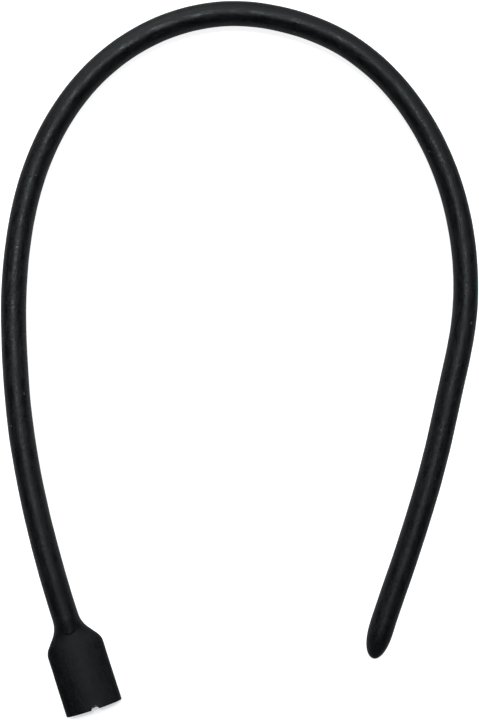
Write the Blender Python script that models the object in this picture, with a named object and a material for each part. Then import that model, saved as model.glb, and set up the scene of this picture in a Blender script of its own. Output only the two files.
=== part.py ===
"""Woven string vibration dampener for a racket.

A round rubber tube lies on the ground in one open loop. It is closed by a bullet tip at one
end and by a flat moulded head at the other, and a soft gel core fills its bore. The ground
is z = 0, the loop's plan is in X and Y, and the origin is the centre of the loop's plan box.
Units are metres.

The rubber bends where two sprung hinges stand: one at the loop's crown, where the tube and
its core are parted, and one at the neck, where the head leaves the tube. At each hinge one
side ends in a dome about the hinge's centre and the other in a dish that clears it.
"""

import math

import bmesh
import bpy
import numpy as np
from mathutils import Matrix, Vector

# Sections
TUBE_RADIUS = 0.0023
BORE_RADIUS = 0.0015
FIT_GAP = 0.0003
GEL_RADIUS = BORE_RADIUS - FIT_GAP

# The tube's axis in plan, from the neck hinge to the end of the tip, chosen by hand
ROUTE = [
    (-0.03384, -0.04415),
    (-0.03624, -0.03571),
    (-0.0390, -0.0240),
    (-0.0410, -0.0121),
    (-0.0420, -0.0002),
    (-0.0422, 0.0118),
    (-0.0411, 0.0237),
    (-0.0382, 0.0354),
    (-0.0330, 0.0461),
    (-0.0252, 0.0552),
    (-0.0151, 0.0616),
    (-0.0005, 0.0646),
    (0.0084, 0.0634),
    (0.0195, 0.0590),
    (0.0287, 0.0514),
    (0.0355, 0.0416),
    (0.0400, 0.0304),
    (0.0421, 0.0186),
    (0.0419, 0.0067),
    (0.0396, -0.0051),
    (0.0370, -0.0168),
    (0.0338, -0.0284),
    (0.0301, -0.0398),
    (0.0263, -0.0512),
    (0.0250, -0.0560),
]
CROWN_POINT = 11
RING_SPACING = 0.0045
TUBE_SIDES = 12

# The dishes' cutter is tilted, so that its edges lie in no plane of the tube's own
BALL_TILT = (math.radians(20.0), math.radians(13.0), math.radians(7.0))

# Bullet tip: its length, and how full its shoulder is (2 is an ellipse)
TIP_LENGTH = 0.0065
TIP_FULLNESS = 2.5
TIP_WALL = 0.0035
BORE_END_LENGTH = 0.0012

# Flat head, measured from the neck hinge along the head's own axis
HEAD_TURN = math.radians(-72.4)
HEAD_LENGTH = 0.0222
HEAD_HALF_WIDTH = 0.00534
HEAD_THICKNESS = 0.0043
HEAD_EDGE_RADIUS = 0.0019
FLARE_START = 0.0043
FLARE_SLOPE = math.radians(38.0)
NECK_FILLET = 0.0050
SHOULDER_RADIUS = 0.0030
RIDGE_END = 0.0076
RIDGE_END_LENGTH = 0.0004
HEAD_SIDES = 40
NICK_SIZE = (0.0008, 0.0014, 0.0100)
NICK_OFFSET = 0.0003
NICK_DEPTH = 0.0004

# Looks
RUBBER_COLOUR = (0.012, 0.012, 0.013, 1.0)
RUBBER_ROUGHNESS = 0.55
GEL_COLOUR = (0.05, 0.055, 0.06, 1.0)
GEL_ROUGHNESS = 0.2


class AxisCurve:
    """A smooth curve in plan through given points, measured along its length."""

    SAMPLES_PER_SPAN = 60

    def __init__(self, points):
        places = np.array(points)
        chords = np.linalg.norm(np.diff(places, axis=0), axis=1)
        knots = np.concatenate(([0.0], np.cumsum(chords)))
        bends = self.natural_bends(knots, places)
        samples = [places[:1]]
        for span in range(len(chords)):
            share = np.linspace(0.0, 1.0, self.SAMPLES_PER_SPAN + 1)[1:, None]
            left = 1.0 - share
            curve = left * places[span] + share * places[span + 1]
            curve += (left**3 - left) * bends[span] * chords[span] ** 2 / 6.0
            curve += (share**3 - share) * bends[span + 1] * chords[span] ** 2 / 6.0
            samples.append(curve)
        self.samples = np.concatenate(samples)
        steps = np.linalg.norm(np.diff(self.samples, axis=0), axis=1)
        self.distances = np.concatenate(([0.0], np.cumsum(steps)))
        self.length = float(self.distances[-1])

    @staticmethod
    def natural_bends(knots, places):
        """Second derivatives at the knots of the natural cubic spline."""
        count = len(knots)
        matrix = np.eye(count)
        sides = np.zeros_like(places)
        for i in range(1, count - 1):
            before = knots[i] - knots[i - 1]
            after = knots[i + 1] - knots[i]
            matrix[i, i - 1 : i + 2] = (before, 2.0 * (before + after), after)
            rise = (places[i + 1] - places[i]) / after - (places[i] - places[i - 1]) / before
            sides[i] = 6.0 * rise
        return np.linalg.solve(matrix, sides)

    def distance_of_point(self, index):
        """Distance along the curve of one of the points that it was made through."""
        return float(self.distances[index * self.SAMPLES_PER_SPAN])

    def at(self, distance):
        """The place on the axis that far along it. Past an end it goes straight on."""
        inside = min(max(distance, 0.0), self.length)
        x = np.interp(inside, self.distances, self.samples[:, 0])
        y = np.interp(inside, self.distances, self.samples[:, 1])
        ends = self.samples[:2] if distance < inside else self.samples[-2:]
        way = (ends[1] - ends[0]) / np.linalg.norm(ends[1] - ends[0])
        x += way[0] * (distance - inside)
        y += way[1] * (distance - inside)
        return Vector((x, y, TUBE_RADIUS))


def clear_scene():
    for thing in list(bpy.data.objects):
        bpy.data.objects.remove(thing, do_unlink=True)


def new_collection(name):
    collection = bpy.data.collections.new(name)
    bpy.context.scene.collection.children.link(collection)
    return collection


def make_material(name, colour, roughness):
    material = bpy.data.materials.new(name)
    material.use_nodes = True
    shader = material.node_tree.nodes["Principled BSDF"]
    shader.inputs["Base Color"].default_value = colour
    shader.inputs["Roughness"].default_value = roughness
    shader.inputs["Metallic"].default_value = 0.0
    return material


def finish_piece(piece, material):
    piece.data.materials.clear()
    piece.data.materials.append(material)
    piece.data.shade_smooth()
    piece.data.set_sharp_from_angle(angle=math.radians(40.0))


def add_hinge_empty(name, place, collection):
    hinge = bpy.data.objects.new(name, None)
    hinge.location = place
    collection.objects.link(hinge)
    return hinge


def hang_on(piece, hinge):
    """Parents a piece to a hinge's empty and leaves it where it is."""
    piece.parent = hinge
    piece.matrix_parent_inverse = Matrix.Translation(-hinge.location)


def rod_along_axis(name, axis, stations, collection):
    """A closed rod along the axis, as a mesh. stations are (distance, radius) pairs."""
    curve = bpy.data.curves.new(name, "CURVE")
    curve.dimensions = "3D"
    curve.twist_mode = "Z_UP"
    curve.bevel_depth = TUBE_RADIUS
    curve.bevel_resolution = (TUBE_SIDES - 4) // 2
    curve.use_fill_caps = True
    spline = curve.splines.new("POLY")
    spline.points.add(len(stations) - 1)
    for point, (distance, radius) in zip(spline.points, stations):
        point.co = (*axis.at(distance), 1.0)
        point.radius = radius / TUBE_RADIUS
    guide = bpy.data.objects.new(name + "_guide", curve)
    collection.objects.link(guide)
    bpy.context.view_layer.update()
    graph = bpy.context.evaluated_depsgraph_get()
    mesh = bpy.data.meshes.new_from_object(guide.evaluated_get(graph))
    rod = bpy.data.objects.new(name, mesh)
    rod.matrix_world = guide.matrix_world
    collection.objects.link(rod)
    bpy.data.objects.remove(guide, do_unlink=True)
    bpy.data.curves.remove(curve)
    weld = bmesh.new()
    weld.from_mesh(mesh)
    bmesh.ops.remove_doubles(weld, verts=weld.verts, dist=1e-6)
    bmesh.ops.recalc_face_normals(weld, faces=weld.faces)
    weld.to_mesh(mesh)
    weld.free()
    return rod


def cut(piece, cutter):
    """Takes the cutter's shape away from the piece."""
    cutter.hide_render = True
    cutter.display_type = "WIRE"
    boolean = piece.modifiers.new("cut_" + cutter.name, "BOOLEAN")
    boolean.operation = "DIFFERENCE"
    boolean.solver = "EXACT"
    boolean.object = cutter


def even_distances(start, end):
    """Distances from start to end, about a ring spacing apart."""
    spans = max(1, round((end - start) / RING_SPACING))
    return [start + (end - start) * i / spans for i in range(spans + 1)]


def dome_radius(offset):
    """Radius of a hinge's dome at an offset along the axis from the hinge."""
    return math.sqrt(TUBE_RADIUS**2 - offset**2)


def tip_radius(from_end):
    """Radius of the tube at a distance from the very end of its tip."""
    share = max(0.0, 1.0 - from_end / TIP_LENGTH)
    return TUBE_RADIUS * math.sqrt(1.0 - share**TIP_FULLNESS)


def tip_stations(axis):
    """Stations over the bullet tip, closer together towards its end."""
    shares = [0.8, 0.62, 0.46, 0.32, 0.2, 0.11, 0.045, 0.01]
    return [(axis.length - TIP_LENGTH * s, tip_radius(TIP_LENGTH * s)) for s in shares]


def ball_cutter(name, place, collection):
    """The ball that a hinge's dome needs clear on the other side of the hinge."""
    ball = bmesh.new()
    bmesh.ops.create_uvsphere(ball, u_segments=24, v_segments=12, radius=TUBE_RADIUS + FIT_GAP)
    mesh = bpy.data.meshes.new(name)
    ball.to_mesh(mesh)
    ball.free()
    cutter = bpy.data.objects.new(name, mesh)
    cutter.location = place
    cutter.rotation_euler = BALL_TILT
    collection.objects.link(cutter)
    return cutter


def build_head_half(axis, crown, parts, cutters, rubber, gel):
    """The half of the tube and of its core next to the head, dished at both ends."""
    balls = [
        ball_cutter("neck_ball", axis.at(0.0), cutters),
        ball_cutter("crown_ball", axis.at(crown), cutters),
    ]
    along = even_distances(0.0, crown)
    tube = rod_along_axis("tube_head_half", axis, [(s, TUBE_RADIUS) for s in along], parts)
    overrun = 2.0 * TUBE_RADIUS
    bore_along = [-overrun, *along, crown + overrun]
    bore = rod_along_axis("head_half_bore", axis, [(s, BORE_RADIUS) for s in bore_along], cutters)
    core = rod_along_axis("gel_core_head_half", axis, [(s, GEL_RADIUS) for s in along], parts)
    cut(tube, bore)
    for ball in balls:
        cut(tube, ball)
        cut(core, ball)
    finish_piece(tube, rubber)
    finish_piece(core, gel)


def build_tip_half(axis, crown, hinge, parts, cutters, rubber, gel):
    """The half of the tube and of its core next to the tip, domed at the crown."""
    dome = [math.cos(math.radians(a)) * TUBE_RADIUS for a in (35.0, 50.0, 65.0, 80.0)]
    along = even_distances(crown, axis.length - TIP_LENGTH)
    stations = [(crown - offset, dome_radius(offset)) for offset in dome]
    stations += [(s, TUBE_RADIUS) for s in along]
    stations += tip_stations(axis)
    tube = rod_along_axis("tube_tip_half", axis, stations, parts)
    bore_end = axis.length - TIP_WALL
    bore = rod_along_axis(
        "tip_half_bore",
        axis,
        [(crown - 2.0 * TUBE_RADIUS, BORE_RADIUS)]
        + [(s, BORE_RADIUS) for s in along]
        + [(bore_end - BORE_END_LENGTH, BORE_RADIUS), (bore_end, 0.5 * BORE_RADIUS)],
        cutters,
    )
    cut(tube, bore)
    core_start = crown - dome_radius(GEL_RADIUS) + 0.5 * FIT_GAP
    core_end = bore_end - FIT_GAP
    core = rod_along_axis(
        "gel_core_tip_half",
        axis,
        [(core_start, GEL_RADIUS)]
        + [(s, GEL_RADIUS) for s in along]
        + [(core_end - BORE_END_LENGTH, GEL_RADIUS), (core_end, 0.5 * GEL_RADIUS)],
        parts,
    )
    for piece, material in ((tube, rubber), (core, gel)):
        finish_piece(piece, material)
        hang_on(piece, hinge)


def blend(share):
    """Smooth step from 0 to 1."""
    share = min(max(share, 0.0), 1.0)
    return share * share * (3.0 - 2.0 * share)


def head_half_width(x):
    """Half of the head's width: neck, fillet, straight flare, shoulder, paddle."""
    rise = 1.0 - math.cos(FLARE_SLOPE)
    straight = HEAD_HALF_WIDTH - TUBE_RADIUS - (NECK_FILLET + SHOULDER_RADIUS) * rise
    fillet_end = FLARE_START + NECK_FILLET * math.sin(FLARE_SLOPE)
    line_end = fillet_end + straight / math.tan(FLARE_SLOPE)
    shoulder_end = line_end + SHOULDER_RADIUS * math.sin(FLARE_SLOPE)
    if x <= FLARE_START:
        return TUBE_RADIUS
    if x <= fillet_end:
        drop = math.sqrt(NECK_FILLET**2 - (x - FLARE_START) ** 2)
        return TUBE_RADIUS + NECK_FILLET - drop
    if x <= line_end:
        return TUBE_RADIUS + NECK_FILLET * rise + (x - fillet_end) * math.tan(FLARE_SLOPE)
    if x <= shoulder_end:
        drop = math.sqrt(SHOULDER_RADIUS**2 - (shoulder_end - x) ** 2)
        return HEAD_HALF_WIDTH - SHOULDER_RADIUS + drop
    return HEAD_HALF_WIDTH


def reach_to_outline(across, up, half_width, top, edge):
    """Distance from the axis to a slab with rounded edges, along the unit way (across, up)."""
    height = top if up > 0.0 else TUBE_RADIUS
    corner = Vector((half_width - edge, height - edge))
    way = Vector((abs(across), abs(up)))
    if way.y * corner.x >= way.x * height:
        return height / way.y
    if way.y * half_width <= way.x * corner.y:
        return half_width / way.x
    along = way.dot(corner)
    return along + math.sqrt(along**2 - corner.length_squared + edge**2)


def head_section(x):
    """One closed section of the head, square to its axis: round neck to flat paddle.

    The end of the round tube shows on the paddle's face as a low ridge as far as RIDGE_END.
    """
    share = blend((x - FLARE_START) / (RIDGE_END - FLARE_START))
    face = HEAD_THICKNESS - TUBE_RADIUS
    top = TUBE_RADIUS + share * (face - TUBE_RADIUS)
    edge = TUBE_RADIUS + share * (HEAD_EDGE_RADIUS - TUBE_RADIUS)
    half_width = head_half_width(x)
    ridge_share = blend((x - RIDGE_END + RIDGE_END_LENGTH) / RIDGE_END_LENGTH)
    ridge = TUBE_RADIUS - ridge_share * (TUBE_RADIUS - 0.9 * face)
    points = []
    for i in range(HEAD_SIDES):
        turn = 2.0 * math.pi * i / HEAD_SIDES
        way = Vector((half_width * math.cos(turn), TUBE_RADIUS * math.sin(turn))).normalized()
        reach = reach_to_outline(way.x, way.y, half_width, top, edge)
        if way.y > 0.0:
            reach = max(reach, ridge)
        points.append(Vector((x, -way.x * reach, way.y * reach)))
    return points


def head_stations():
    """Distances of the head's sections from the neck hinge."""
    flare_end = 0.0104
    spans = 14
    flare = [FLARE_START + (flare_end - FLARE_START) * i / spans for i in range(spans + 1)]
    ridge = [RIDGE_END - RIDGE_END_LENGTH * (1.0 - i / 3.0) for i in range(4)]
    flare = [x for x in flare if abs(x - RIDGE_END + 0.5 * RIDGE_END_LENGTH) > 0.0003]
    paddle = [0.0135, 0.0165, 0.0195, HEAD_LENGTH]
    return [0.0, 0.0020] + sorted(flare + ridge) + paddle


def loft(name, sections, collection):
    """A closed body through rings of equal count, capped at both ends."""
    body = bmesh.new()
    rings = [[body.verts.new(point) for point in section] for section in sections]
    count = len(rings[0])
    for near, far in zip(rings, rings[1:]):
        for i in range(count):
            j = (i + 1) % count
            body.faces.new((near[i], near[j], far[j], far[i]))
    body.faces.new(rings[0])
    body.faces.new(list(reversed(rings[-1])))
    bmesh.ops.recalc_face_normals(body, faces=body.faces)
    mesh = bpy.data.meshes.new(name)
    body.to_mesh(mesh)
    body.free()
    piece = bpy.data.objects.new(name, mesh)
    collection.objects.link(piece)
    return piece


def build_head(hinge, parts, cutters, rubber):
    """The paddle, domed where it meets the tube, with a torn moulding gate in its end."""
    sections = []
    for degrees in (15.0, 30.0, 45.0, 60.0, 75.0):
        offset = TUBE_RADIUS * math.cos(math.radians(degrees))
        share = dome_radius(offset) / TUBE_RADIUS
        ring = head_section(0.0)
        sections.append([Vector((-offset, p.y * share, p.z * share)) for p in ring])
    sections += [head_section(x) for x in head_stations()]
    head = loft("head", sections, parts)
    bpy.ops.mesh.primitive_cube_add(size=1.0)
    nick = bpy.context.object
    nick.name = "gate_nick"
    nick.scale = NICK_SIZE
    for owner in list(nick.users_collection):
        owner.objects.unlink(nick)
    cutters.objects.link(nick)
    for piece, offset in ((head, Vector()), (nick, nick_offset())):
        turn = Matrix.Rotation(HEAD_TURN, 4, "Z")
        piece.rotation_euler = (0.0, 0.0, HEAD_TURN)
        piece.location = hinge.location + turn @ offset
    bpy.context.view_layer.update()
    cut(head, nick)
    finish_piece(head, rubber)
    hang_on(head, hinge)


def nick_offset():
    """Centre of the gate nick's cutter, from the neck hinge along the head's own axes."""
    return Vector((HEAD_LENGTH - NICK_DEPTH + 0.5 * NICK_SIZE[0], NICK_OFFSET, 0.0))


def main():
    clear_scene()
    parts = new_collection("vibration_dampener")
    cutters = new_collection("cutters")
    rubber = make_material("tube_rubber", RUBBER_COLOUR, RUBBER_ROUGHNESS)
    head_rubber = make_material("head_rubber", RUBBER_COLOUR, RUBBER_ROUGHNESS)
    gel = make_material("damping_gel", GEL_COLOUR, GEL_ROUGHNESS)
    axis = AxisCurve(ROUTE)
    crown = axis.distance_of_point(CROWN_POINT)
    neck_hinge = add_hinge_empty("neck_flex_axis", axis.at(0.0), parts)
    loop_hinge = add_hinge_empty("loop_flex_axis", axis.at(crown), parts)
    build_head_half(axis, crown, parts, cutters, rubber, gel)
    build_tip_half(axis, crown, loop_hinge, parts, cutters, rubber, gel)
    build_head(neck_hinge, parts, cutters, head_rubber)


main()
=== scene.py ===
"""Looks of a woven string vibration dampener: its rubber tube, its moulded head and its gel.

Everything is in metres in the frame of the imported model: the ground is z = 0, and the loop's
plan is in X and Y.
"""

import math

import bmesh
import bpy
import numpy as np
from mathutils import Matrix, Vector, noise


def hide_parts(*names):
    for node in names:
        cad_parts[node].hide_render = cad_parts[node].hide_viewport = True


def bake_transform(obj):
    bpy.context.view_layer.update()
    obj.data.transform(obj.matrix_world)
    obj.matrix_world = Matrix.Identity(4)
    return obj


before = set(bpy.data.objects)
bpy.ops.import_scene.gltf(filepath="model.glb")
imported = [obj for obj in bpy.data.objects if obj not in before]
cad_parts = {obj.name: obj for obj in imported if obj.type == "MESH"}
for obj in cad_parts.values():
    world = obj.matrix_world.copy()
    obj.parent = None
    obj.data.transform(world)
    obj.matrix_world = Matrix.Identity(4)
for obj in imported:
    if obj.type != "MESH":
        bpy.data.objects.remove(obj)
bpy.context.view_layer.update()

MM = 0.001
UP = (0.0, 0.0, 1.0)

# The picture: what its long side covers at the tube's height, and the point it looks down on
VIEW_LENGTH = 0.13464
VIEW_CENTRE = (0.0, -0.00019)
LENS_MM = 100.0
SENSOR_MM = 36.0

# The tube's axis in plan, from the neck hinge to the end of the tip: the route of the CAD part
ROUTE = [
    (-0.03384, -0.04415),
    (-0.03624, -0.03571),
    (-0.0390, -0.0240),
    (-0.0410, -0.0121),
    (-0.0420, -0.0002),
    (-0.0422, 0.0118),
    (-0.0411, 0.0237),
    (-0.0382, 0.0354),
    (-0.0330, 0.0461),
    (-0.0252, 0.0552),
    (-0.0151, 0.0616),
    (-0.0005, 0.0646),
    (0.0084, 0.0634),
    (0.0195, 0.0590),
    (0.0287, 0.0514),
    (0.0355, 0.0416),
    (0.0400, 0.0304),
    (0.0421, 0.0186),
    (0.0419, 0.0067),
    (0.0396, -0.0051),
    (0.0370, -0.0168),
    (0.0338, -0.0284),
    (0.0301, -0.0398),
    (0.0263, -0.0512),
    (0.0250, -0.0560),
]
WAY_STEP = 0.0010

# The tube: its diameter, the (distance, radius) places of its slight swells, its bore and the
# gel in it. Rings of the mesh are so far apart, and each has so many columns, with extra ones
# at these degrees from the two parting lines
TUBE_DIAMETER = 0.0046
TUBE_SWELLS = [
    (0.000, 0.00245),
    (0.025, 0.00239),
    (0.055, 0.00234),
    (0.090, 0.00231),
    (0.125, 0.00233),
    (0.165, 0.00230),
    (0.205, 0.00231),
    (0.235, 0.00233),
    (0.278, 0.00234),
]
BORE_RADIUS = 0.0015
GEL_RADIUS = 0.00147
GEL_GAP = 0.0001
RING_SPACING = 0.0006
BORE_SPACING = 0.0020
COLUMNS = 96
PARTING_COLUMNS = (-2.5, -1.25, 1.25, 2.5)
SHARP_ANGLE = math.radians(50.0)

# Bullet tip, with the wall and the narrower end of the bore inside it, and two small vent
# marks, (distance from the end, offset to the right)
TIP_LENGTH = 0.0065
TIP_FULLNESS = 2.5
TIP_RINGS = 22
TIP_WALL = 0.0035
BORE_END_LENGTH = 0.0012
BORE_END_SHARE = 0.5
DIMPLE_RADIUS = 0.00022
DIMPLE_DEPTH = 0.00007
DIMPLES = [(0.0012, -0.0005), (0.0015, 0.0008)]

# Head, measured from the neck hinge along its own axis. The seam is where it meets the tube,
# a little way up the tube. The ridge is the round tube's end, which shows on its face
SEAM = 0.0030
HEAD_TURN = math.radians(-72.4)
HEAD_WAY = np.array([math.cos(HEAD_TURN), math.sin(HEAD_TURN), 0.0])
HEAD_LENGTH = 0.0222
HEAD_HALF_WIDTH = 0.00534
HEAD_THICKNESS = 0.0046
FACE_FULLNESS = 1.8
UNDERSIDE_FULLNESS = 2.25
HEAD_ROLL = math.radians(7.0)
ROLL_LENGTH = 0.0090
END_EDGE_RADIUS = 0.00012
FLARE_START = 0.0043
FLARE_SLOPE = math.radians(38.0)
NECK_FILLET = 0.0050
SHOULDER_RADIUS = 0.0030
RIDGE_END = 0.0076
RIDGE_END_LENGTH = 0.00035
RIDGE_SINK = 0.00018
RIDGE_CURL = 0.00030
RIDGE_FOOT = 0.9
RIDGE_FILLET = 0.0001
OUTLINE_STEPS = 180

# Torn moulding gate in the head's end face. Its two noises, coarse and fine, are given as
# (place in the noise, fineness across, fineness upwards), then how much they change its
# outline and its depth
NICK_OFFSET = 0.0003
NICK_HALF_WIDTH = 0.0007
NICK_DEPTH = 0.00045
NICK_RUN = 0.0016
NICK_REACH = 1.12
NICK_SLOPE = 0.3
NICK_COARSE = (7.1, 1.1, 1.9)
NICK_FINE = (2.3, 4.1, 4.7)
NICK_RAGGEDNESS = 0.28
NICK_COARSE_DEPTH = 0.5
NICK_FINE_DEPTH = 0.45

# The head's rings: (distance from the neck hinge, spacing up to there), shares of the closed
# end in the tube and of the end face that have a ring, and angles round the end's edge
HEAD_SPACINGS = [
    (FLARE_START, 0.00045),
    (0.0068, 0.00022),
    (0.0080, 0.00008),
    (0.0105, 0.00022),
    (HEAD_LENGTH - NICK_RUN, 0.00038),
    (HEAD_LENGTH - END_EDGE_RADIUS, 0.00014),
]
CAP_SHARES = (0.35, 0.7)
END_FACE_SHARES = (0.92, 0.84, 0.76, 0.67, 0.58, 0.49, 0.39, 0.29, 0.19, 0.09)
END_CORNER_ANGLES = (15.0, 30.0, 45.0, 60.0, 75.0, 90.0)

# Wear of the head's rubber: how strong it is and how far it reaches from the end and the sides,
# and how fast it fades towards the middle of the end face
END_WEAR = 0.7
END_WEAR_REACH = 0.002
END_WEAR_POWER = 6
SIDE_WEAR = 0.45
SIDE_WEAR_REACH = 0.0016

# The key lamp is far away, and its light fades out so far from the point that it is aimed at.
# Lamps stand so many degrees off the vertical, turned from +X. Fills: (name, tilt, turn,
# strength, angle that the lamp fills)
LIGHT_COLOUR = (0.915, 0.985, 1.035)
LAMP_DISTANCE = 4.0
KEY_TILT = 14.5
KEY_TURN = 93.0
KEY_WATTS = 462.0
KEY_SIZE = 0.06
KEY_AIM = (-0.010, 0.009, 0.0)
KEY_REACH = 0.100
FILLS = [("broad_fill", 43.0, 76.0, 1.5, 84.0), ("low_fill", 66.0, 122.0, 0.8, 44.0)]
ROOM_COLOUR = (0.95, 0.97, 1.0, 1.0)
ROOM_STRENGTH = 0.045
BACKDROP_COLOUR = (0.96, 0.965, 0.97, 1.0)

# The board, its glow for the camera, and the soft painted shadow dimmed into that glow at the
# foot of the head's end face: how dark it is, where it starts to fade and ends, how far it runs
# to the left and right of the head's axis, how near something has to be over the board to cast
# it, and which open shares of the sky above give none of it and all of it
BOARD_SIZE = 40.0
BOARD_COLOUR = (0.65, 0.65, 0.65, 1.0)
BOARD_ROUGHNESS = 0.9
BOARD_GLOSS = 0.1
BOARD_GLOW = 0.88
SHADE_DEPTH = 0.40
SHADE_REACH_MM = (0.1, 2.8)
SHADE_SIDES_MM = (-4.3, 3.6)
SHADE_HEIGHT = 0.005
SHADE_SKY = (1.0, 0.75)
SHADE_SAMPLES = 8

# Unevenness of the moulded surface, (size, height), how much of it the end face has, and the
# mould's parting line
SWELL = (0.0042, 0.000030)
RIPPLE = (0.0013, 0.000007)
END_FACE_UNEVENNESS = 0.6
PARTING_HEIGHT = 0.00004
PARTING_HALF_ANGLE = 1.6

# Colours of the rubber and of the gel
RUBBER_DARK = (0.0017, 0.0018, 0.0019, 1.0)
RUBBER_LIGHT = (0.0034, 0.0035, 0.0036, 1.0)
BLOOM_COLOUR = (0.0105, 0.0110, 0.0115, 1.0)
WORN_COLOUR = (0.0085, 0.0088, 0.0092, 1.0)
TORN_COLOUR = (0.11, 0.115, 0.12, 1.0)
DUST_COLOUR = (0.075, 0.078, 0.078, 1.0)
GEL_DARK = (0.040, 0.045, 0.050, 1.0)
GEL_LIGHT = (0.075, 0.080, 0.085, 1.0)
BUBBLE_COLOUR = (0.16, 0.17, 0.18, 1.0)

# Looks of the rubber: gloss, roughness, how streaky it is, bloom, and depth of the mottling
TUBE_LOOK = (0.25, 0.45, 0.08, 0.8, 1.0)
HEAD_LOOK = (0.22, 0.47, 0.05, 0.6, 0.3)

# Noises in the rubber and the gel, as swells or cells in a mm, and how far the streaks and the
# specks of dust are drawn out along the tube
CLOUDS = 0.20
CLOUD_DETAIL = 2.0
STREAKS = 1.8
STREAK_STRETCH = 4.5
BLOTS = 1.1
GRAIN = 3.6
GRAIN_DETAIL = 4.0
GRAIN_ROUGHNESS = 0.62
CRUMBS = 4.0
SPECKS = 0.5
SPECK_STRETCH = 1.5
GEL_CLOUDS = 0.6
BUBBLES = 1.4

# Part of a noise's range over which what it stands for fades in
PATCHES = (0.36, 0.64)
WHOLE = (0.34, 0.66)
BLOOM_RANGE = (0.80, 1.02)
WEAR_RANGE = (0.85, 1.15)
TEAR_RANGE = (0.25, 0.8)
CRUMB_RANGE = (0.42, 0.58)
GEL_RANGE = (0.35, 0.65)
GEL_GLOSS_RANGE = (0.3, 0.7)

# How much the clouds count in the mottling, where blots are the rest, and the streaks in the
# bloom, and how thickly dust covers the rubber
CLOUD_SHARE = 0.4
STREAK_SHARE = 0.6
DUST_COVER = 0.8

# Dust specks, in cells: a cell's chance has to lie in this range for a speck, which grows with
# it up to this radius; its soft edge; and how ragged it is, as (noise in a mm, shift in mm).
# Radii at which the gel's bubbles begin and are full
SPECK_CHANCE = (0.35, 1.0)
SPECK_RADIUS = 0.105
SPECK_EDGE = 0.03
SPECK_RAGGEDNESS = (2.5, 0.45)
BUBBLE_RADII = (0.16, 0.10)

# How far clouds, grain, wear and dust change the rubber's roughness, and the gel's roughness
CLOUD_ROUGHENS = 0.03
GRAIN_ROUGHENS = 0.10
WEAR_ROUGHENS = -0.10
DUST_ROUGHENS = 0.3
GEL_ROUGHNESS = (0.16, 0.28)

# Heights of the relief
MOTTLING_RELIEF = 0.04 * MM
GRAIN_RELIEF = 0.026 * MM
BUBBLE_RELIEF = 0.016 * MM


def smooth(share):
    """Smooth step from 0 to 1, for a number or an array."""
    share = np.clip(share, 0.0, 1.0)
    return share * share * (3.0 - 2.0 * share)


class Axis:
    """The dampener's axis in plan, by distance from the neck hinge towards the tip.

    Before the hinge it runs straight into the head. Through ROUTE it is a natural cubic
    spline by chord length.
    """

    SAMPLES_PER_SPAN = 60

    def __init__(self, points):
        places = np.array(points)
        chords = np.linalg.norm(np.diff(places, axis=0), axis=1)
        knots = np.concatenate(([0.0], np.cumsum(chords)))
        bends = self.natural_bends(knots, places)
        samples = [places[:1]]
        for span in range(len(chords)):
            share = np.linspace(0.0, 1.0, self.SAMPLES_PER_SPAN + 1)[1:, None]
            left = 1.0 - share
            curve = left * places[span] + share * places[span + 1]
            curve += (left**3 - left) * bends[span] * chords[span] ** 2 / 6.0
            curve += (share**3 - share) * bends[span + 1] * chords[span] ** 2 / 6.0
            samples.append(curve)
        self.samples = np.concatenate(samples)
        steps = np.linalg.norm(np.diff(self.samples, axis=0), axis=1)
        self.distances = np.concatenate(([0.0], np.cumsum(steps)))
        self.length = float(self.distances[-1])

    @staticmethod
    def natural_bends(knots, places):
        """Second derivatives at the knots of the natural cubic spline."""
        count = len(knots)
        matrix = np.eye(count)
        sides = np.zeros_like(places)
        for i in range(1, count - 1):
            before = knots[i] - knots[i - 1]
            after = knots[i + 1] - knots[i]
            matrix[i, i - 1 : i + 2] = (before, 2.0 * (before + after), after)
            rise = (places[i + 1] - places[i]) / after - (places[i] - places[i - 1]) / before
            sides[i] = 6.0 * rise
        return np.linalg.solve(matrix, sides)

    def at(self, distance):
        """The place in plan at that distance. Past an end the axis goes straight on."""
        if distance < 0.0:
            return self.samples[0] - HEAD_WAY[:2] * distance
        inside = min(distance, self.length)
        place = np.array([np.interp(inside, self.distances, self.samples[:, k]) for k in (0, 1)])
        last = self.samples[-1] - self.samples[-2]
        return place + last / np.linalg.norm(last) * (distance - inside)

    def side(self, distance):
        """Unit way in plan to the right of the axis, seen from the head towards the tip."""
        way = self.at(distance + WAY_STEP) - self.at(distance - WAY_STEP)
        way /= np.linalg.norm(way)
        return np.array([way[1], -way[0], 0.0])


def ring_turns():
    """Angles of a ring's columns, closer together beside the two parting lines."""
    regular = [360.0 * i / COLUMNS for i in range(COLUMNS)]
    close = [middle + step for middle in (0.0, 180.0) for step in PARTING_COLUMNS]
    return np.radians(sorted(angle % 360.0 for angle in regular + close))


TURNS = ring_turns()


def parting_line(height=PARTING_HEIGHT):
    """How far the thin flash of the mould's two halves stands out, for each column."""
    off_line = np.minimum(np.degrees(TURNS) % 180.0, 180.0 - np.degrees(TURNS) % 180.0)
    return height * np.exp(-((off_line / PARTING_HALF_ANGLE) ** 2))


def tube_middle(axis, distance):
    """The middle of the tube's section there, as high above the ground as its radius."""
    return np.array([*axis.at(distance), body_radius(distance)])


def ring_points(axis, distance, across, up):
    """Places of a ring's points, from their offsets across and above the tube's middle."""
    side = axis.side(distance)
    return tube_middle(axis, distance) + np.outer(across, side) + np.outer(up, UP)


def round_ring(axis, distance, radius, flash=0.0):
    """A round ring about the tube's middle, with a parting line that stands out so far."""
    reach = radius + parting_line(flash)
    return ring_points(axis, distance, reach * np.cos(TURNS), reach * np.sin(TURNS))


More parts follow.
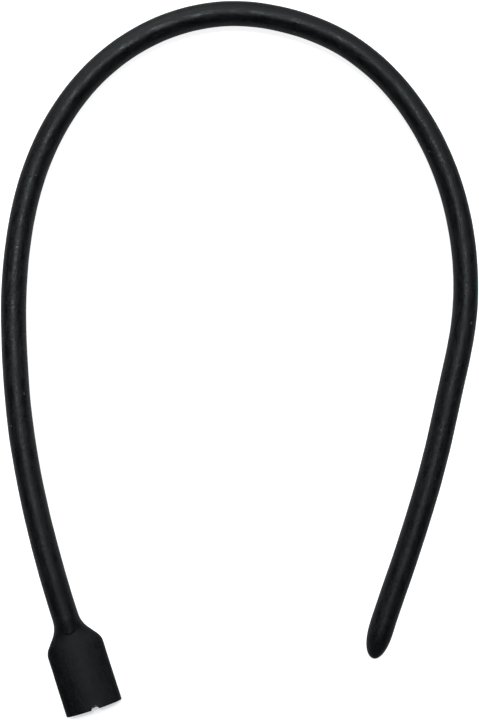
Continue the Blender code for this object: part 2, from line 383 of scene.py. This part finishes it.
def body_radius(distance):
    """Radius of the tube's round body at a distance from the neck hinge."""
    places = np.array(TUBE_SWELLS)
    distance = max(distance, 0.0)
    after = int(np.clip(np.searchsorted(places[:, 0], distance), 1, len(places) - 1))
    (start, near), (end, far) = places[after - 1], places[after]
    return float(near + (far - near) * smooth((distance - start) / (end - start)))


def tip_radius(axis, distance):
    """Radius of the tube there, with its bullet tip."""
    share = max(0.0, 1.0 - (axis.length - distance) / TIP_LENGTH)
    return body_radius(distance) * math.sqrt(max(0.0, 1.0 - share**TIP_FULLNESS))


def even(start, end, spacing):
    """Numbers from start to end, about spacing apart."""
    spans = max(1, round((end - start) / spacing))
    return [start + (end - start) * i / spans for i in range(spans + 1)]


def uneven(points, normals):
    """Moves points in or out by the moulding's soft swells and ripples, none into the ground."""
    moved = []
    for place, normal in zip(points, normals):
        shift = 0.0
        for size, height in (SWELL, RIPPLE):
            shift += height * noise.noise(Vector(place) / size)
        moved.append(place + normal * shift)
    moved = np.array(moved)
    moved[:, 2] = np.maximum(moved[:, 2], 0.0)
    return moved


def closed_body(name, rings, start_pole, end_pole):
    """A closed mesh through rings of equal count, closed by a fan at each pole."""
    body = bmesh.new()
    grid = [[body.verts.new(place) for place in ring] for ring in rings]
    count = len(grid[0])
    for near, far in zip(grid, grid[1:]):
        for i in range(count):
            j = (i + 1) % count
            body.faces.new((near[i], near[j], far[j], far[i]))
    for pole, ring in ((start_pole, grid[0]), (end_pole, grid[-1])):
        centre = body.verts.new(pole)
        for i in range(count):
            body.faces.new((centre, ring[i], ring[(i + 1) % count]))
    bmesh.ops.recalc_face_normals(body, faces=body.faces)
    mesh = bpy.data.meshes.new(name)
    body.to_mesh(mesh)
    body.free()
    mesh.shade_smooth()
    mesh.set_sharp_from_angle(angle=SHARP_ANGLE)
    piece = bpy.data.objects.new(name, mesh)
    bpy.context.scene.collection.objects.link(piece)
    return piece


def keep_numbers(piece, name, values):
    """Stores one number for each of the piece's points, for its material to read."""
    attribute = piece.data.attributes.new(name, "FLOAT", "POINT")
    attribute.data.foreach_set("value", np.array(values, np.float32))


def keep_straight_place(piece, axis, distances):
    """Stores each point's place on the dampener pulled straight, for patterns that bend with it.

    The distances are those of the mesh's rings in order, and then of its two poles.
    """
    places = np.zeros(len(piece.data.vertices) * 3, np.float32)
    piece.data.vertices.foreach_get("co", places)
    places = places.reshape(-1, 3)
    straight = np.zeros_like(places)
    first = 0
    for number, distance in enumerate(distances):
        last = first + (1 if number >= len(distances) - 2 else len(TURNS))
        offsets = places[first:last] - np.array([*axis.at(distance), 0.0])
        straight[first:last, 0] = distance
        straight[first:last, 1] = offsets @ axis.side(distance)
        straight[first:last, 2] = offsets[:, 2]
        first = last
    attribute = piece.data.attributes.new("straight_place", "FLOAT_VECTOR", "POINT")
    attribute.data.foreach_set("vector", straight.ravel())


def dimpled(axis, ring, distance, radius):
    """Sinks the two small vent marks into the upper side of the tip."""
    side = axis.side(distance)
    centre = tube_middle(axis, distance)
    for from_end, across in DIMPLES:
        mark = axis.length - from_end
        offsets = (ring - centre) @ side - across
        apart = np.hypot(offsets, distance - mark)
        sink = DIMPLE_DEPTH * smooth(1.0 - apart / DIMPLE_RADIUS)
        sink = np.where(ring[:, 2] > centre[2], sink, 0.0)
        ring = ring - (ring - centre) / max(radius, MM) * sink[:, None]
    return ring


def core_stations(start, end, radius):
    """(distance, radius) of the bore or of the gel in it, which narrow at the tip's end."""
    stations = [(place, radius) for place in even(start, end - BORE_END_LENGTH, BORE_SPACING)]
    return stations + [(end, BORE_END_SHARE * radius)]


def build_tube(axis):
    """The tube's rubber, from the seam to its closed tip, with the bore that holds the gel.

    The middles of its sections come with it.
    """
    tip_start = axis.length - TIP_LENGTH
    along = even(SEAM, tip_start, RING_SPACING)
    along += [axis.length - TIP_LENGTH * (1.0 - i / TIP_RINGS) ** 2 for i in range(1, TIP_RINGS)]
    outer = []
    centres = []
    for distance in along:
        radius = tip_radius(axis, distance)
        flash = PARTING_HEIGHT * radius / body_radius(distance)
        ring = round_ring(axis, distance, radius, flash=flash)
        centre = tube_middle(axis, distance)
        ring = uneven(ring, (ring - centre) / radius)
        if distance > tip_start:
            ring = dimpled(axis, ring, distance, radius)
        outer.append(ring)
        centres.append(centre)
    bore_end = axis.length - TIP_WALL
    bore = core_stations(SEAM, bore_end, BORE_RADIUS)
    inner = [round_ring(axis, distance, radius) for distance, radius in bore]
    tip_end = tube_middle(axis, axis.length)
    bore_pole = inner[-1].mean(axis=0)
    tube = closed_body("dampener_tube", outer[::-1] + inner, tip_end, bore_pole)
    distances = along[::-1] + [distance for distance, _ in bore]
    keep_straight_place(tube, axis, distances + [axis.length, bore_end])
    centres.append(tip_end)
    return tube, centres


def build_gel(axis):
    """The soft gel that fills the bore."""
    start = SEAM + GEL_GAP
    end = axis.length - TIP_WALL - GEL_GAP
    stations = core_stations(start, end, GEL_RADIUS)
    rings = [round_ring(axis, distance, radius) for distance, radius in stations]
    gel = closed_body("damping_gel", rings, rings[0].mean(axis=0), rings[-1].mean(axis=0))
    keep_straight_place(gel, axis, [distance for distance, _ in stations] + [start, end])
    return gel


def head_half_width(x):
    """Half of the head's width: neck, fillet, straight flare, shoulder, paddle."""
    neck = body_radius(0.0)
    rise = 1.0 - math.cos(FLARE_SLOPE)
    straight = HEAD_HALF_WIDTH - neck - (NECK_FILLET + SHOULDER_RADIUS) * rise
    fillet_end = FLARE_START + NECK_FILLET * math.sin(FLARE_SLOPE)
    line_end = fillet_end + straight / math.tan(FLARE_SLOPE)
    shoulder_end = line_end + SHOULDER_RADIUS * math.sin(FLARE_SLOPE)
    if x <= FLARE_START:
        return body_radius(-x)
    if x <= fillet_end:
        drop = math.sqrt(NECK_FILLET**2 - (x - FLARE_START) ** 2)
        return neck + NECK_FILLET - drop
    if x <= line_end:
        return neck + NECK_FILLET * rise + (x - fillet_end) * math.tan(FLARE_SLOPE)
    if x <= shoulder_end:
        drop = math.sqrt(SHOULDER_RADIUS**2 - (shoulder_end - x) ** 2)
        return HEAD_HALF_WIDTH - SHOULDER_RADIUS + drop
    return HEAD_HALF_WIDTH


def oval_reach(across, up, half_width, half_height, fullness):
    """Distance from the axis to a full oval, along unit ways (across, up). 2 is an ellipse."""
    share = (np.abs(across) / half_width) ** fullness + (np.abs(up) / half_height) ** fullness
    return share ** (-1.0 / fullness)


def soft_larger(one, other, width):
    """The larger of two, with a small fillet where they meet."""
    nearness = np.maximum(width - np.abs(one - other), 0.0) / width
    return np.maximum(one, other) + 0.25 * width * nearness**2


def head_outline(x):
    """The head's section at x as offsets across and above the axis, one for each column.

    It goes from the round neck to the flat paddle, which lies rolled a little to the right.
    The end of the round tube shows on the paddle's face as a low ridge. Columns are spread
    evenly along each quarter of the outline.
    """
    neck = body_radius(-x)
    share = float(smooth((x - FLARE_START) / (RIDGE_END - FLARE_START)))
    from_end = max(0.0, x - (HEAD_LENGTH - END_EDGE_RADIUS))
    inset = END_EDGE_RADIUS - math.sqrt(max(END_EDGE_RADIUS**2 - from_end**2, 0.0))
    face = HEAD_THICKNESS - neck
    above = neck + share * (face - neck) - inset
    half_width = head_half_width(x) - inset
    turn = np.linspace(0.0, 2.0 * math.pi, 4 * OUTLINE_STEPS + 1)
    ways = np.stack([half_width * np.cos(turn), neck * np.sin(turn)])
    ways /= np.linalg.norm(ways, axis=0)
    half_height = np.where(ways[1] > 0.0, above, neck - inset)
    fullness = 2.0 + share * (np.where(ways[1] > 0.0, FACE_FULLNESS, UNDERSIDE_FULLNESS) - 2.0)
    reach = oval_reach(ways[0], ways[1], half_width, half_height, fullness)
    roll = HEAD_ROLL * float(smooth(x / ROLL_LENGTH))
    ways = np.array([[math.cos(roll), math.sin(roll)], [-math.sin(roll), math.cos(roll)]]) @ ways
    if x > FLARE_START:
        top = neck - RIDGE_SINK * share
        curl = RIDGE_CURL * (ways[0] * top / MM) ** 2
        ended = smooth((x - RIDGE_END + curl + RIDGE_END_LENGTH) / RIDGE_END_LENGTH)
        ridge = top - ended * (top - RIDGE_FOOT * face)
        reach = np.where(ways[1] > 0.0, soft_larger(reach, ridge, RIDGE_FILLET), reach)
    return spread_columns((ways * reach).T)


def spread_columns(outline):
    """Reads a fine outline at the ring's columns, evenly along each of its quarters."""
    quarter = (len(outline) - 1) // 4
    points = []
    for number in range(4):
        part = outline[number * quarter : (number + 1) * quarter + 1]
        steps = np.linalg.norm(np.diff(part, axis=0), axis=1)
        along = np.concatenate(([0.0], np.cumsum(steps)))
        shares = TURNS / (0.5 * math.pi) - number
        shares = shares[(shares >= 0.0) & (shares < 1.0)]
        points.append(
            np.stack([np.interp(shares * along[-1], along, part[:, k]) for k in (0, 1)], axis=1)
        )
    return np.concatenate(points)


def end_face_noise(across, up, place, fine_across, fine_up):
    """Noise over the head's end face, at points across and above its axis."""
    points = zip(across / MM * fine_across, up / MM * fine_up)
    return np.array([noise.noise(Vector((place, *point))) for point in points])


def nick_depth(across, up):
    """How deep the torn gate has bitten into the head's end face there."""
    coarse = end_face_noise(across, up, *NICK_COARSE)
    fine = end_face_noise(across, up, *NICK_FINE)
    reach = np.abs(across - NICK_OFFSET) / NICK_HALF_WIDTH + NICK_RAGGEDNESS * coarse
    depth = NICK_DEPTH * smooth((NICK_REACH - reach) / NICK_SLOPE)
    return depth * (1.0 + NICK_COARSE_DEPTH * coarse + NICK_FINE_DEPTH * fine)


def bitten(x, across, up):
    """Pulls points near the end back into the head where the gate has torn it.

    Returns their distances from the neck hinge, and how torn they are.
    """
    depth = nick_depth(across, up)
    start = HEAD_LENGTH - NICK_RUN
    share = max(0.0, (x - start) / NICK_RUN)
    return x - depth * share**2, depth / NICK_DEPTH * share**2


def head_stations():
    """Distances of the head's sections from the neck hinge, closer together at its details."""
    start = -SEAM
    stations = [start]
    for end, spacing in HEAD_SPACINGS:
        stations += even(start, end, spacing)[1:]
        start = end
    corner = [math.sin(math.radians(angle)) for angle in END_CORNER_ANGLES]
    return stations + [HEAD_LENGTH - END_EDGE_RADIUS * (1.0 - share) for share in corner]


def edge_wear(x, across, scale):
    """How worn the head's points are: round the end face, and along the paddle's two sides."""
    near_end = float(smooth(1.0 - (HEAD_LENGTH - x) / END_WEAR_REACH))
    near_side = smooth((np.abs(across) - HEAD_HALF_WIDTH + SIDE_WEAR_REACH) / SIDE_WEAR_REACH)
    end_wear = END_WEAR * near_end * scale**END_WEAR_POWER
    return end_wear + SIDE_WEAR * near_side * (x > FLARE_START)


def head_ring(axis, x, scale):
    """One ring of the head at x, how torn its points are and how worn.

    A scale under 1 gives a ring of the end face, that share of the face's outline.
    """
    outline = head_outline(x)
    middle = np.array([0.0, 0.5 * (outline[:, 1].max() + outline[:, 1].min())])
    outward = outline - middle
    outward /= np.linalg.norm(outward, axis=1)[:, None]
    if x < HEAD_LENGTH - END_EDGE_RADIUS:
        outline = outline + outward * parting_line()[:, None]
    if scale < 1.0:
        outline = middle + (outline - middle) * scale
    across, up = outline.T
    places_x, tear = bitten(x, across, up)
    ring = ring_points(axis, -x, across, up) + np.outer(places_x - x, HEAD_WAY)
    normal = np.outer(outward[:, 0], axis.side(-x)) + np.outer(outward[:, 1], UP)
    if scale < 1.0:
        normal = np.tile(HEAD_WAY, (len(ring), 1)) * END_FACE_UNEVENNESS
    return uneven(ring, normal), tear, edge_wear(x, across, scale)


def build_head(axis):
    """The moulded head: round neck, flared flat paddle, square end with a torn gate."""
    cap = round_ring(axis, SEAM, body_radius(SEAM), flash=PARTING_HEIGHT)
    cap_centre = cap.mean(axis=0)
    rings = [cap_centre + (cap - cap_centre) * share for share in CAP_SHARES]
    tears = [np.zeros(len(TURNS)) for _ in rings]
    wears = list(tears)
    sections = [(x, 1.0) for x in head_stations()]
    sections += [(HEAD_LENGTH, share) for share in END_FACE_SHARES]
    for x, scale in sections:
        ring, tear, wear = head_ring(axis, x, scale)
        rings.append(ring)
        tears.append(tear)
        wears.append(wear)
    head = closed_body("moulded_head", rings, cap_centre, rings[-1].mean(axis=0))
    distances = [SEAM, SEAM] + [-x for x, _ in sections] + [SEAM, -HEAD_LENGTH]
    keep_straight_place(head, axis, distances)
    poles = [0.0, 0.0]
    keep_numbers(head, "tear", np.concatenate([*tears, poles]))
    keep_numbers(head, "wear", np.clip(np.concatenate([*wears, poles]), 0.0, 1.0))
    return head


class Nodes:
    """Short ways to add and join the shader nodes of one material."""

    def __init__(self, name):
        self.material = bpy.data.materials.new(name)
        self.material.use_nodes = True
        self.tree = self.material.node_tree
        self.shader = self.tree.nodes["Principled BSDF"]

    def add(self, kind, **settings):
        node = self.tree.nodes.new(kind)
        for name, value in settings.items():
            setattr(node, name, value)
        return node

    def join(self, source, target):
        self.tree.links.new(source, target)

    def feed(self, target, value):
        """Gives a socket a number, a colour or another node's output."""
        if isinstance(value, bpy.types.NodeSocket):
            self.join(value, target)
        else:
            target.default_value = value

    def attribute(self, name, output):
        node = self.add("ShaderNodeAttribute", attribute_name=name)
        return node.outputs[output]

    def place_mm(self, stretch=1.0):
        """The point's place on the straightened dampener, in mm, stretched along its axis."""
        node = self.add("ShaderNodeVectorMath", operation="MULTIPLY")
        self.join(self.attribute("straight_place", "Vector"), node.inputs[0])
        node.inputs[1].default_value = (1.0 / MM / stretch, 1.0 / MM, 1.0 / MM)
        return node.outputs["Vector"]

    def noise(self, place, scale, detail=3.0, roughness=0.55):
        """A soft noise with so many swells in a mm."""
        node = self.add("ShaderNodeTexNoise")
        self.join(place, node.inputs["Vector"])
        node.inputs["Scale"].default_value = scale
        node.inputs["Detail"].default_value = detail
        node.inputs["Roughness"].default_value = roughness
        return node.outputs["Fac"]

    def noisy(self, place, scale, shift):
        """The place moved about by a noise, for ragged edges."""
        node = self.add("ShaderNodeTexNoise")
        self.join(place, node.inputs["Vector"])
        node.inputs["Scale"].default_value = scale
        moved = self.add("ShaderNodeVectorMath", operation="MULTIPLY_ADD")
        self.join(node.outputs["Color"], moved.inputs[0])
        moved.inputs[1].default_value = (shift, shift, shift)
        self.join(place, moved.inputs[2])
        return moved.outputs["Vector"]

    def cells(self, place, scale):
        """Distance to the middle of the nearest of scattered cells, and the cell's colour."""
        node = self.add("ShaderNodeTexVoronoi")
        self.join(place, node.inputs["Vector"])
        node.inputs["Scale"].default_value = scale
        return node.outputs["Distance"], node.outputs["Color"]

    def combine(self, operation, one, other):
        """One step of arithmetic on two numbers or outputs."""
        node = self.add("ShaderNodeMath", operation=operation)
        self.feed(node.inputs[0], one)
        self.feed(node.inputs[1], other)
        return node.outputs[0]

    def plus(self, one, other):
        return self.combine("ADD", one, other)

    def minus(self, one, other):
        return self.combine("SUBTRACT", one, other)

    def times(self, one, other):
        return self.combine("MULTIPLY", one, other)

    def larger(self, one, other):
        return self.combine("MAXIMUM", one, other)

    def spread(self, value, low, high, to_low=0.0, to_high=1.0):
        """Maps low..high smoothly to to_low..to_high."""
        node = self.add("ShaderNodeMapRange", interpolation_type="SMOOTHSTEP")
        self.join(value, node.inputs["Value"])
        node.inputs["From Min"].default_value = low
        node.inputs["From Max"].default_value = high
        node.inputs["To Min"].default_value = to_low
        node.inputs["To Max"].default_value = to_high
        return node.outputs["Result"]

    def mix(self, share, one, other):
        """A colour between two."""
        node = self.add("ShaderNodeMix", data_type="RGBA")
        self.feed(node.inputs["Factor"], share)
        self.feed(node.inputs["A"], one)
        self.feed(node.inputs["B"], other)
        return node.outputs["Result"]

    def bump(self, height, distance, under=None):
        """A normal that height bends, on top of another one."""
        node = self.add("ShaderNodeBump")
        self.join(height, node.inputs["Height"])
        node.inputs["Distance"].default_value = distance
        if under is not None:
            self.join(under, node.inputs["Normal"])
        return node.outputs["Normal"]


def rubber(name, gloss, roughness, streaking, bloom, depth):
    """Matt black moulded rubber: grain, streaky mottling, bloom, worn edges and a little dust."""
    n = Nodes(name)
    place = n.place_mm()
    clouds = n.noise(place, CLOUDS, CLOUD_DETAIL)
    streaks = n.noise(n.place_mm(STREAK_STRETCH), STREAKS)
    blots = n.noise(place, BLOTS)
    grain = n.noise(place, GRAIN, GRAIN_DETAIL, GRAIN_ROUGHNESS)
    wear = n.attribute("wear", "Fac")
    tear = n.attribute("tear", "Fac")

    # Colour: dark rubber, lighter in clouds, greyer where it blooms, is worn, torn or dusty
    mottling = n.plus(n.times(clouds, CLOUD_SHARE), n.times(blots, 1.0 - CLOUD_SHARE))
    colour = n.mix(n.spread(mottling, *PATCHES), RUBBER_DARK, RUBBER_LIGHT)
    blooming = n.spread(n.plus(n.times(streaks, STREAK_SHARE), grain), *BLOOM_RANGE)
    colour = n.mix(n.times(blooming, bloom), colour, BLOOM_COLOUR)
    worn = n.times(wear, n.spread(n.plus(grain, blots), *WEAR_RANGE))
    colour = n.mix(worn, colour, WORN_COLOUR)
    crumbs = n.spread(n.noise(place, CRUMBS), *CRUMB_RANGE)
    colour = n.mix(n.times(n.spread(tear, *TEAR_RANGE), crumbs), colour, TORN_COLOUR)
    dust = dust_specks(n)
    colour = n.mix(n.times(dust, DUST_COVER), colour, DUST_COLOUR)
    n.join(colour, n.shader.inputs["Base Color"])

    # Roughness: streaky as the mould left it, smoother where worn, duller in the dust
    rough = n.spread(streaks, *WHOLE, roughness - streaking, roughness + streaking)
    rough = n.plus(rough, n.spread(clouds, *PATCHES, -CLOUD_ROUGHENS, CLOUD_ROUGHENS))
    rough = n.plus(rough, n.spread(grain, *WHOLE, -GRAIN_ROUGHENS, GRAIN_ROUGHENS))
    rough = n.plus(rough, n.times(worn, WEAR_ROUGHENS))
    rough = n.plus(rough, n.times(dust, DUST_ROUGHENS))
    n.join(rough, n.shader.inputs["Roughness"])

    # Relief: soft mould mottling, then the matt grain
    relief = n.bump(blots, MOTTLING_RELIEF * depth)
    relief = n.bump(streaks, MOTTLING_RELIEF * depth, relief)
    relief = n.bump(grain, GRAIN_RELIEF, relief)
    n.join(relief, n.shader.inputs["Normal"])
    n.shader.inputs["Metallic"].default_value = 0.0
    n.shader.inputs["Specular IOR Level"].default_value = gloss
    return n.material


def dust_specks(n):
    """Where ragged dust specks lie: in about two of three cells, of different sizes."""
    specks, tints = n.cells(n.noisy(n.place_mm(SPECK_STRETCH), *SPECK_RAGGEDNESS), SPECKS)
    chance = n.add("ShaderNodeSeparateColor")
    n.join(tints, chance.inputs[0])
    radius = n.times(n.spread(chance.outputs[0], *SPECK_CHANCE), SPECK_RADIUS)
    return n.spread(n.minus(radius, specks), 0.0, SPECK_EDGE)


def gel_material():
    """Soft smoke-grey damping gel with small trapped bubbles."""
    n = Nodes("damping_gel")
    place = n.place_mm()
    clouds = n.noise(place, GEL_CLOUDS)
    bubbles, _ = n.cells(place, BUBBLES)
    colour = n.mix(n.spread(clouds, *GEL_RANGE), GEL_DARK, GEL_LIGHT)
    colour = n.mix(n.spread(bubbles, *BUBBLE_RADII), colour, BUBBLE_COLOUR)
    n.join(colour, n.shader.inputs["Base Color"])
    rough = n.spread(clouds, *GEL_GLOSS_RANGE, *GEL_ROUGHNESS)
    n.join(rough, n.shader.inputs["Roughness"])
    n.join(n.bump(bubbles, BUBBLE_RELIEF), n.shader.inputs["Normal"])
    return n.material


def floor_material(axis):
    """Smooth studio board that the picture shows white, as an overexposed one is.

    It stays greyer close to the head's end face, where the photograph keeps a soft shadow,
    unless a pose has lifted the head off it.
    """
    n = Nodes("white_board")
    n.shader.inputs["Base Color"].default_value = BOARD_COLOUR
    n.shader.inputs["Roughness"].default_value = BOARD_ROUGHNESS
    n.shader.inputs["Specular IOR Level"].default_value = BOARD_GLOSS
    n.shader.inputs["Emission Color"].default_value = (1.0, 1.0, 1.0, 1.0)
    seen = n.add("ShaderNodeLightPath").outputs["Is Camera Ray"]
    # Painted soft shadow: the camera glow is dimmed near the foot of the head's end face while
    # something lies close above the board there
    overhead = n.add("ShaderNodeAmbientOcclusion", samples=SHADE_SAMPLES)
    overhead.inputs["Distance"].default_value = SHADE_HEIGHT
    covered = n.spread(overhead.outputs["AO"], *SHADE_SKY)
    depth = n.spread(distance_from_end(n, axis), *SHADE_REACH_MM, SHADE_DEPTH, 0.0)
    glow = n.minus(BOARD_GLOW, n.times(covered, depth))
    n.join(n.times(seen, glow), n.shader.inputs["Emission Strength"])
    return n.material


def distance_from_end(n, axis):
    """How far the board's points are from the foot of the head's end face, where the painted
    shadow lies, in mm.
    """
    local = n.add("ShaderNodeMapping", vector_type="TEXTURE")
    n.join(n.add("ShaderNodeTexCoord").outputs["Object"], local.inputs["Vector"])
    local.inputs["Location"].default_value = (*axis.at(-HEAD_LENGTH), 0.0)
    local.inputs["Rotation"].default_value = (0.0, 0.0, HEAD_TURN)
    local.inputs["Scale"].default_value = (MM, MM, MM)
    parts = n.add("ShaderNodeSeparateXYZ")
    n.join(local.outputs["Vector"], parts.inputs[0])
    right = n.minus(parts.outputs["Y"], SHADE_SIDES_MM[1])
    left = n.minus(SHADE_SIDES_MM[0], parts.outputs["Y"])
    apart = n.add("ShaderNodeCombineXYZ")
    n.join(parts.outputs["X"], apart.inputs["X"])
    n.join(n.larger(n.larger(left, right), 0.0), apart.inputs["Y"])
    length = n.add("ShaderNodeVectorMath", operation="LENGTH")
    n.join(apart.outputs["Vector"], length.inputs[0])
    return length.outputs["Value"]


def add_floor(axis):
    """The board that the dampener lies on, at z = 0."""
    bpy.ops.mesh.primitive_plane_add(size=BOARD_SIZE)
    floor = bpy.context.object
    floor.name = "studio_floor"
    floor.data.materials.append(floor_material(axis))


def add_camera():
    """Straight above the loop, with the top of the loop up in the picture."""
    data = bpy.data.cameras.new("camera")
    data.lens = LENS_MM
    data.sensor_width = SENSOR_MM
    data.dof.use_dof = False
    camera = bpy.data.objects.new("camera", data)
    height = 0.5 * TUBE_DIAMETER + VIEW_LENGTH * LENS_MM / SENSOR_MM
    camera.location = (*VIEW_CENTRE, height)
    bpy.context.scene.collection.objects.link(camera)
    bpy.context.scene.camera = camera


def add_lamp(name, kind, tilt, turn, energy, aim=(0.0, 0.0, 0.0)):
    """A lamp that shines on a point. Its tilt off the vertical and turn are in degrees."""
    tilt, turn = math.radians(tilt), math.radians(turn)
    flat = math.sin(tilt)
    towards = Vector((flat * math.cos(turn), flat * math.sin(turn), math.cos(tilt)))
    data = bpy.data.lights.new(name, kind)
    data.energy = energy
    data.color = LIGHT_COLOUR
    lamp = bpy.data.objects.new(name, data)
    lamp.location = Vector(aim) + towards * LAMP_DISTANCE
    lamp.rotation_mode = "QUATERNION"
    lamp.rotation_quaternion = (-towards).to_track_quat("-Z", "Y")
    bpy.context.scene.collection.objects.link(lamp)
    return data


def add_lights():
    """A high key that fades towards the crown and the free ends, and two soft fills."""
    key = add_lamp("key", "SPOT", KEY_TILT, KEY_TURN, KEY_WATTS, aim=KEY_AIM)
    key.shadow_soft_size = KEY_SIZE
    key.spot_size = 2.0 * math.atan(KEY_REACH / LAMP_DISTANCE)
    key.spot_blend = 1.0
    for name, tilt, turn, strength, angle in FILLS:
        add_lamp(name, "SUN", tilt, turn, strength).angle = math.radians(angle)


def add_world():
    """A dim room for the rubber to reflect, with a pale backdrop behind the board."""
    world = bpy.data.worlds.new("studio")
    world.use_nodes = True
    tree = world.node_tree
    room = tree.nodes["Background"]
    room.inputs["Color"].default_value = ROOM_COLOUR
    room.inputs["Strength"].default_value = ROOM_STRENGTH
    backdrop = tree.nodes.new("ShaderNodeBackground")
    backdrop.inputs["Color"].default_value = BACKDROP_COLOUR
    seen = tree.nodes.new("ShaderNodeLightPath")
    choice = tree.nodes.new("ShaderNodeMixShader")
    tree.links.new(seen.outputs["Is Camera Ray"], choice.inputs["Fac"])
    tree.links.new(room.outputs[0], choice.inputs[1])
    tree.links.new(backdrop.outputs[0], choice.inputs[2])
    tree.links.new(choice.outputs[0], tree.nodes["World Output"].inputs["Surface"])
    bpy.context.scene.world = world
    bpy.context.scene.view_settings.view_transform = "Standard"


def main():
    """The dampener's three pieces and the studio round them."""
    axis = Axis(ROUTE)
    add_camera()
    tube, centres = build_tube(axis)
    gel = build_gel(axis)
    head = build_head(axis)
    tube.data.materials.append(rubber("tube_rubber", *TUBE_LOOK))
    head.data.materials.append(rubber("head_rubber", *HEAD_LOOK))
    gel.data.materials.append(gel_material())

    for piece in (tube, gel):
        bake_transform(piece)
    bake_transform(head)
    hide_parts("tube_head_half", "tube_tip_half")
    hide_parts("gel_core_head_half", "gel_core_tip_half")
    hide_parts("head")
    add_floor(axis)
    add_lights()
    add_world()


main()
